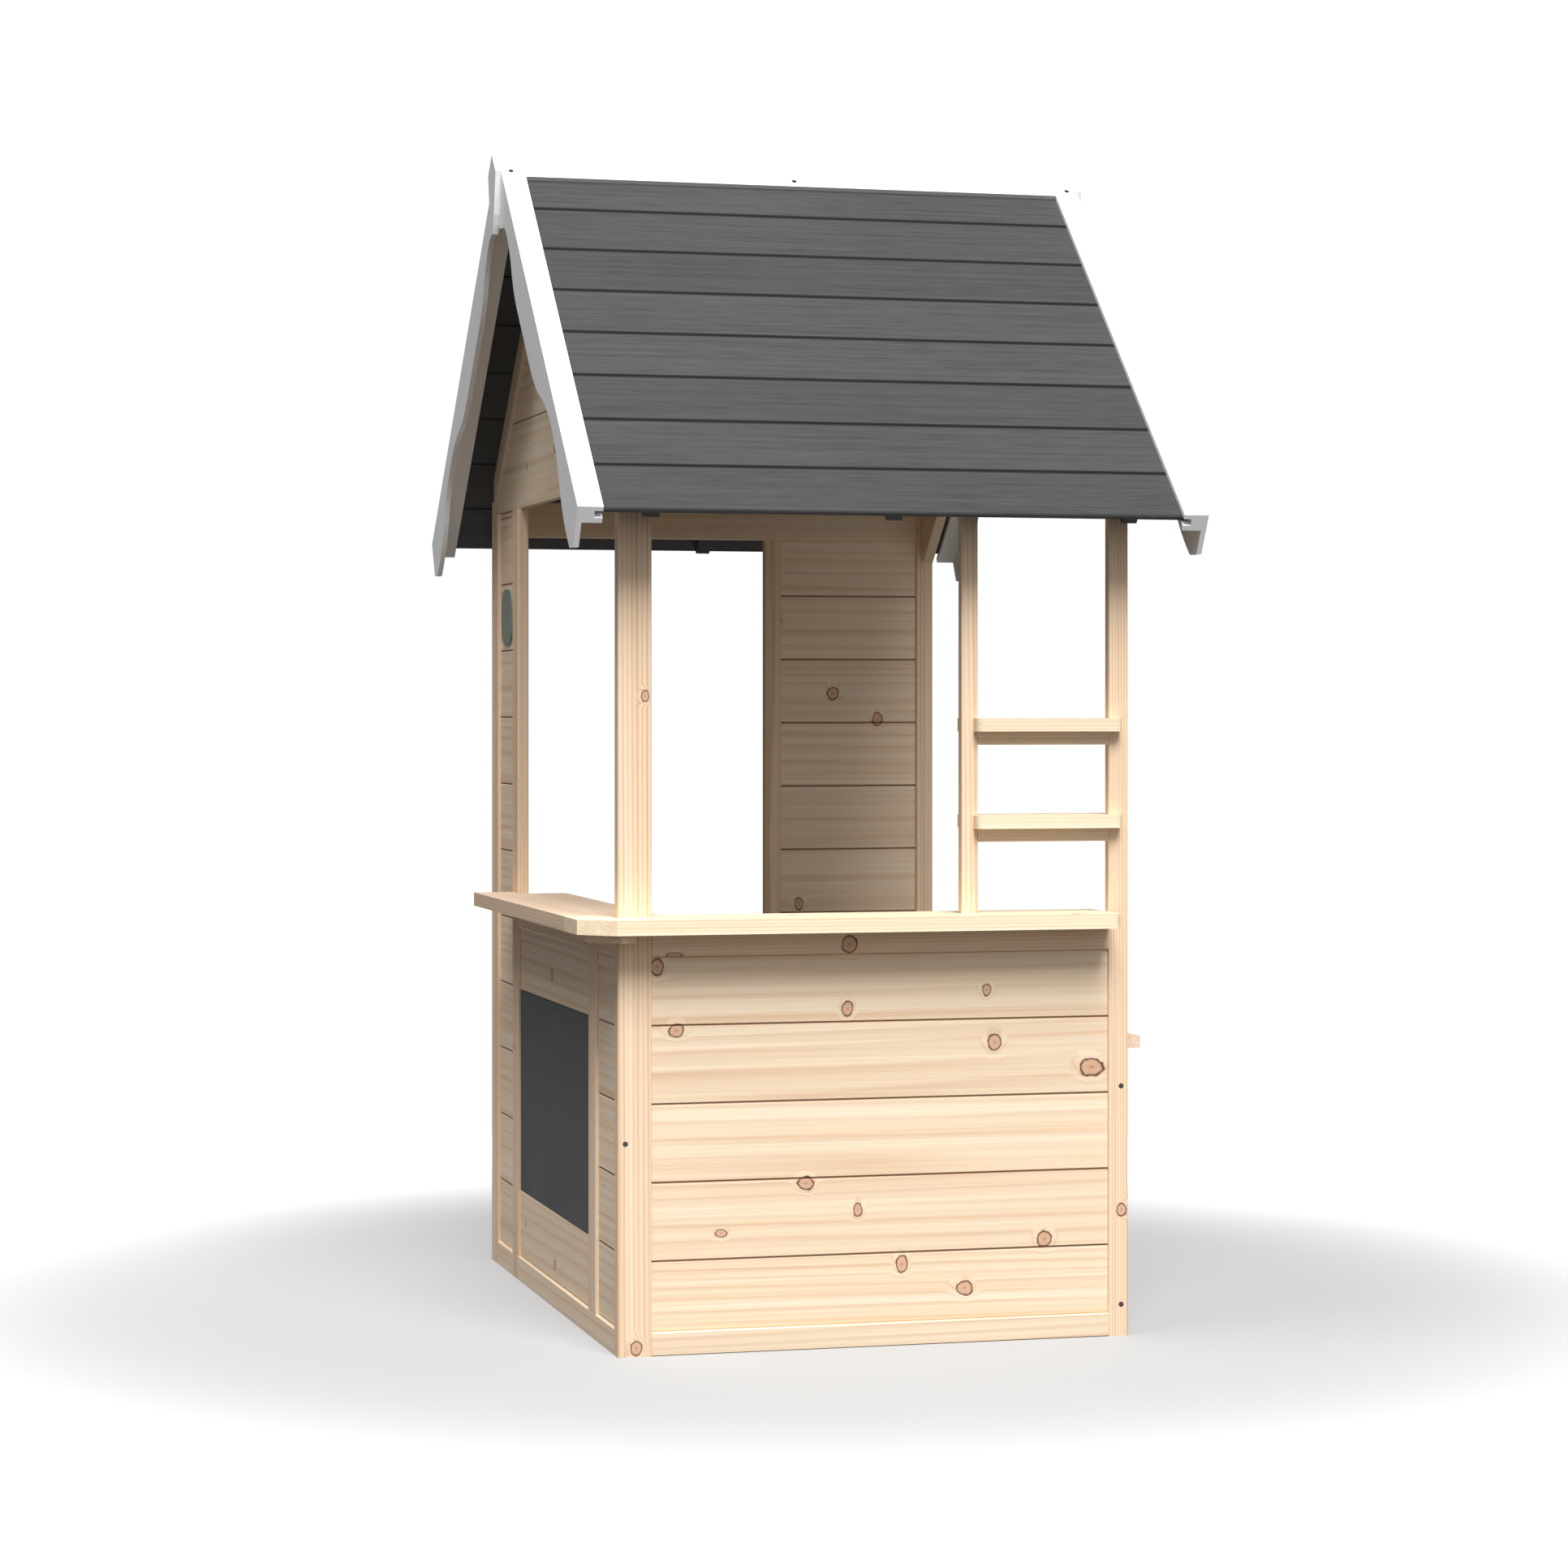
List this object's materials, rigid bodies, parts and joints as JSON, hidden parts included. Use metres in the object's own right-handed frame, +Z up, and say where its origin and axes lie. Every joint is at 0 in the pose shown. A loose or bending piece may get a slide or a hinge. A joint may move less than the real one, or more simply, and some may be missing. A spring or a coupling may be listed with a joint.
{
  "type": "market stall playhouse",
  "caption": "Wooden garden playhouse shaped like a market stall, with a gable roof, an L-shaped serving counter, shelves, a chalkboard panel and an open doorway.",
  "frame": {"origin": "on the ground under the middle of the house", "axes": "+Z up, -Y out of the serving front, -X out of the chalkboard side, ridge along X"},
  "size_m": [0.976, 1.2704, 1.8289],
  "materials": {
    "pine": "planed, unpainted",
    "roof_paint": "matt dark grey stain",
    "white_paint": "satin white paint",
    "chalkboard": "matt chalkboard paint on thin board",
    "screw_steel": "zinc plated",
    "plaque": "plain, matt"
  },
  "bodies": {
    "root": {"cap_screws": "screw_steel", "chalkboard": "chalkboard", "counter_corner_plate": "pine", "counter_front": "pine", "counter_side": "pine", "edge_battens_front": "white_paint", "edge_battens_rear": "white_paint", "fascia_left_front": "white_paint", "fascia_left_rear": "white_paint", "fascia_right_front": "white_paint", "fascia_right_rear": "white_paint", "finial_left": "white_paint", "finial_right": "white_paint", "front_bottom_rail": "pine", "front_header": "pine", "front_left_post": "pine", "front_mid_post": "pine", "front_right_post": "pine", "front_top_rail": "pine", "front_wall_boards": "pine", "left_far_stile": "pine", "left_gable_batten_front": "pine", "left_gable_batten_rear": "pine", "left_gable_boards": "pine", "left_low_board_lower": "pine", "left_low_board_upper": "pine", "left_low_bottom_rail": "pine", "left_low_stile": "pine", "left_low_top_rail": "pine", "left_narrow_boards": "pine", "left_near_stile": "pine", "left_panel_plaque": "plaque", "left_tall_boards": "pine", "left_tall_bottom_rail": "pine", "rafters_front": "roof_paint", "rafters_rear": "roof_paint", "rear_boards": "pine", "rear_bottom_rail": "pine", "rear_door_stile": "pine", "rear_left_post": "pine", "rear_right_post": "pine", "rear_top_rail": "pine", "ridge_cap_front": "white_paint", "ridge_cap_rear": "white_paint", "right_bottom_rail": "pine", "right_rake_board_front": "pine", "right_rake_board_rear": "pine", "right_top_rail": "pine", "right_wall_boards": "pine", "roof_boards_front": "roof_paint", "roof_boards_rear": "roof_paint", "shelf_lower": "pine", "shelf_lower_rail": "pine", "shelf_upper": "pine", "shelf_upper_rail": "pine", "side_ledge": "pine", "wall_screws": "screw_steel"}
  },
  "joints": []
}
